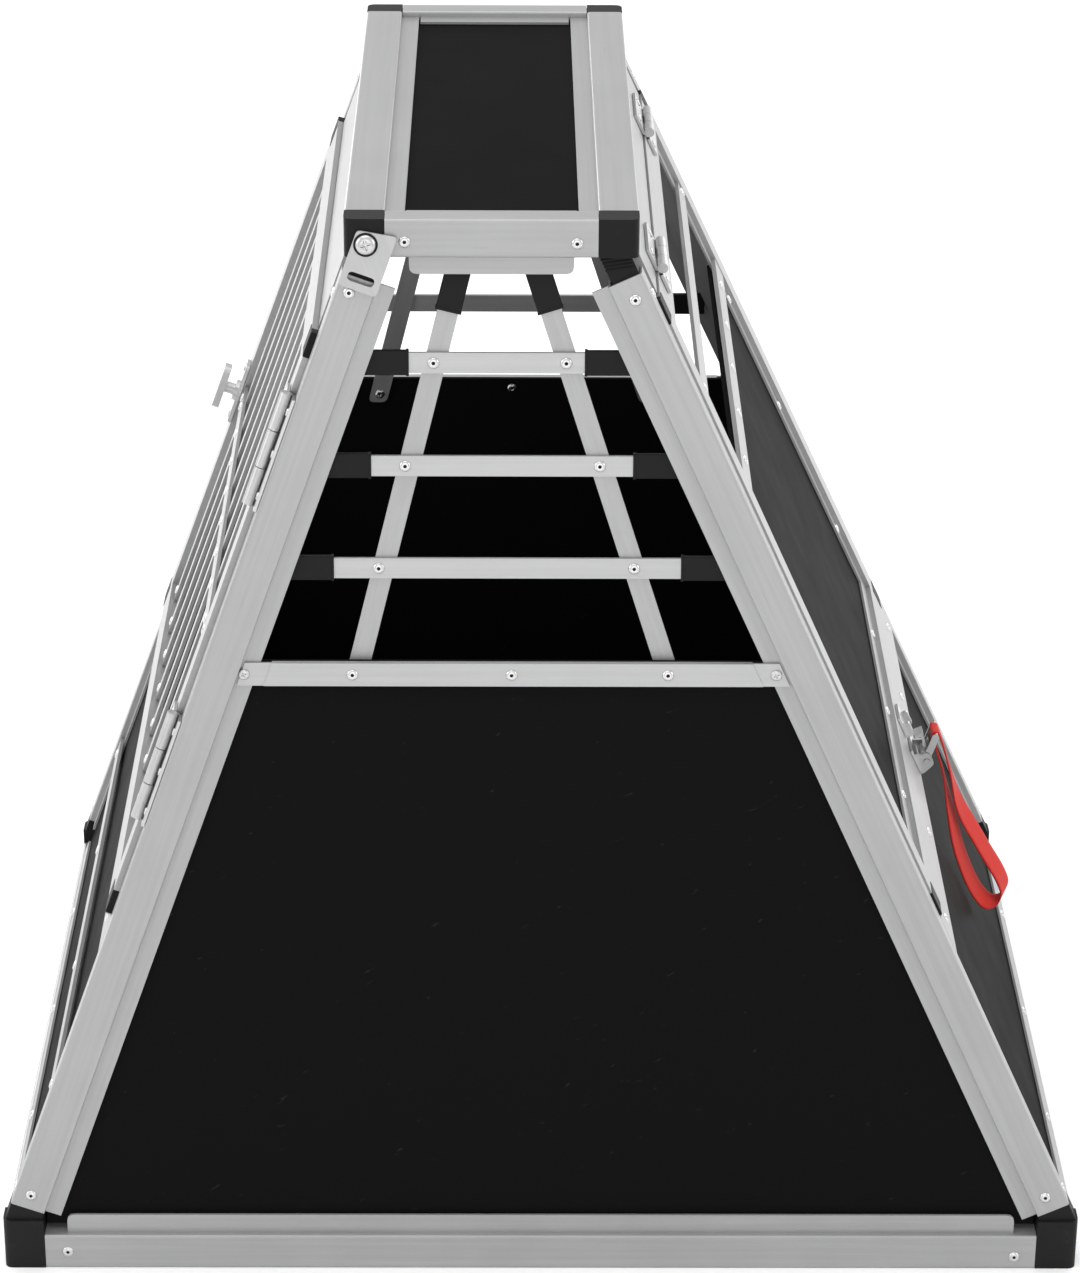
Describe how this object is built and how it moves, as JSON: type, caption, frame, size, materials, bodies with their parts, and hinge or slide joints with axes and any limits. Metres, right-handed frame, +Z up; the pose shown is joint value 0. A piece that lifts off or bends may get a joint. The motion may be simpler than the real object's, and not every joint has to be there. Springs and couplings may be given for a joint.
{
  "type": "dog travel crate",
  "caption": "Trapezoid dog travel crate: riveted aluminium frame, black panels, barred windows, a barred front door and a rear escape hatch with pull strap.",
  "frame": {"origin": "on the ground, at the middle of the base rectangle", "axes": "+Z up; the door is in the -Y wall and the escape hatch in the +Y wall; X runs along the crate's length, with the tie-down bracket at +X"},
  "size_m": [0.67, 0.84, 0.844],
  "materials": {
    "aluminium": "satin anodised",
    "steel": "zinc plated",
    "black_panel": "semi gloss composite sheet",
    "black_plastic": "moulded",
    "red_webbing": "woven webbing"
  },
  "bodies": {
    "frame": {"post_front_right": "aluminium", "base_corner_front_right": "black_plastic", "roof_corner_front_right": "black_plastic", "post_back_right": "aluminium", "base_corner_back_right": "black_plastic", "roof_corner_back_right": "black_plastic", "base_rail_right": "aluminium", "roof_rail_right": "aluminium", "end_panel_right": "black_panel", "mid_rail_right": "aluminium", "window_bar_1_right": "aluminium", "window_bar_2_right": "aluminium", "window_bar_3_right": "aluminium", "window_strap_1_right": "aluminium", "window_strap_2_right": "aluminium", "post_front_left": "aluminium", "base_corner_front_left": "black_plastic", "roof_corner_front_left": "black_plastic", "post_back_left": "aluminium", "base_corner_back_left": "black_plastic", "roof_corner_back_left": "black_plastic", "base_rail_left": "aluminium", "roof_rail_left": "aluminium", "end_panel_left": "black_panel", "mid_rail_left": "aluminium", "window_bar_1_left": "aluminium", "window_bar_2_left": "aluminium", "window_bar_3_left": "aluminium", "window_strap_1_left": "aluminium", "window_strap_2_left": "aluminium", "tie_bracket": "aluminium", "base_rail_front": "aluminium", "roof_rail_front": "aluminium", "cross_rail_front": "aluminium", "lower_panel_front": "black_panel", "base_rail_back": "aluminium", "roof_rail_back": "aluminium", "cross_rail_back": "aluminium", "lower_panel_back": "black_panel", "floor_panel": "black_panel", "roof_panel": "black_panel", "sill_bar": "aluminium", "door_hinge_1_frame_leaf": "steel", "door_hinge_2_frame_leaf": "steel", "hatch_hinge_1_frame_leaf": "steel", "hatch_hinge_2_frame_leaf": "steel", "hatch_latch_base": "steel"},
    "door": {"door_frame": "aluminium", "door_grille": "aluminium", "door_hinge_1_moving_leaf": "steel", "door_hinge_2_moving_leaf": "steel", "door_latch_base": "steel"},
    "door_handle": {"door_latch_handle": "steel"},
    "hatch": {"hatch_frame": "aluminium", "hatch_panel": "black_panel", "hatch_hinge_1_moving_leaf": "steel", "hatch_hinge_2_moving_leaf": "steel", "hatch_latch_keeper": "steel"},
    "hatch_lever": {"hatch_latch_lever": "steel"},
    "strap": {"pull_strap": "red_webbing"}
  },
  "joints": [
    {"name": "door_hinge", "type": "hinge", "parent": "frame", "child": "door", "pos_m": [0.26572, -0.20259, 0.66636], "axis": [-0.0764, 0.3357, 0.9389], "range_deg": [0, 110]},
    {"name": "door_latch", "type": "hinge", "parent": "door", "child": "door_handle", "pos_m": [-0.25282, -0.25357, 0.503], "axis": [0, -0.9416, 0.3367], "range_deg": [0, 90]},
    {"name": "hatch_hinge", "type": "hinge", "parent": "frame", "child": "hatch", "pos_m": [0, 0.08649, 0.77867], "axis": [1, 0, 0], "range_deg": [0, 100]},
    {"name": "hatch_latch", "type": "hinge", "parent": "frame", "child": "hatch_lever", "pos_m": [-0.02, 0.32214, 0.27376], "axis": [-1, 0, 0], "range_deg": [0, 60]},
    {"name": "strap_swing", "type": "hinge", "parent": "hatch_lever", "child": "strap", "pos_m": [-0.02, 0.32908, 0.29457], "axis": [-1, 0, 0], "range_deg": [-60, 0]}
  ],
  "couplings": [
    {"joint": "strap_swing", "follows": "hatch_latch", "ratio": -1}
  ]
}
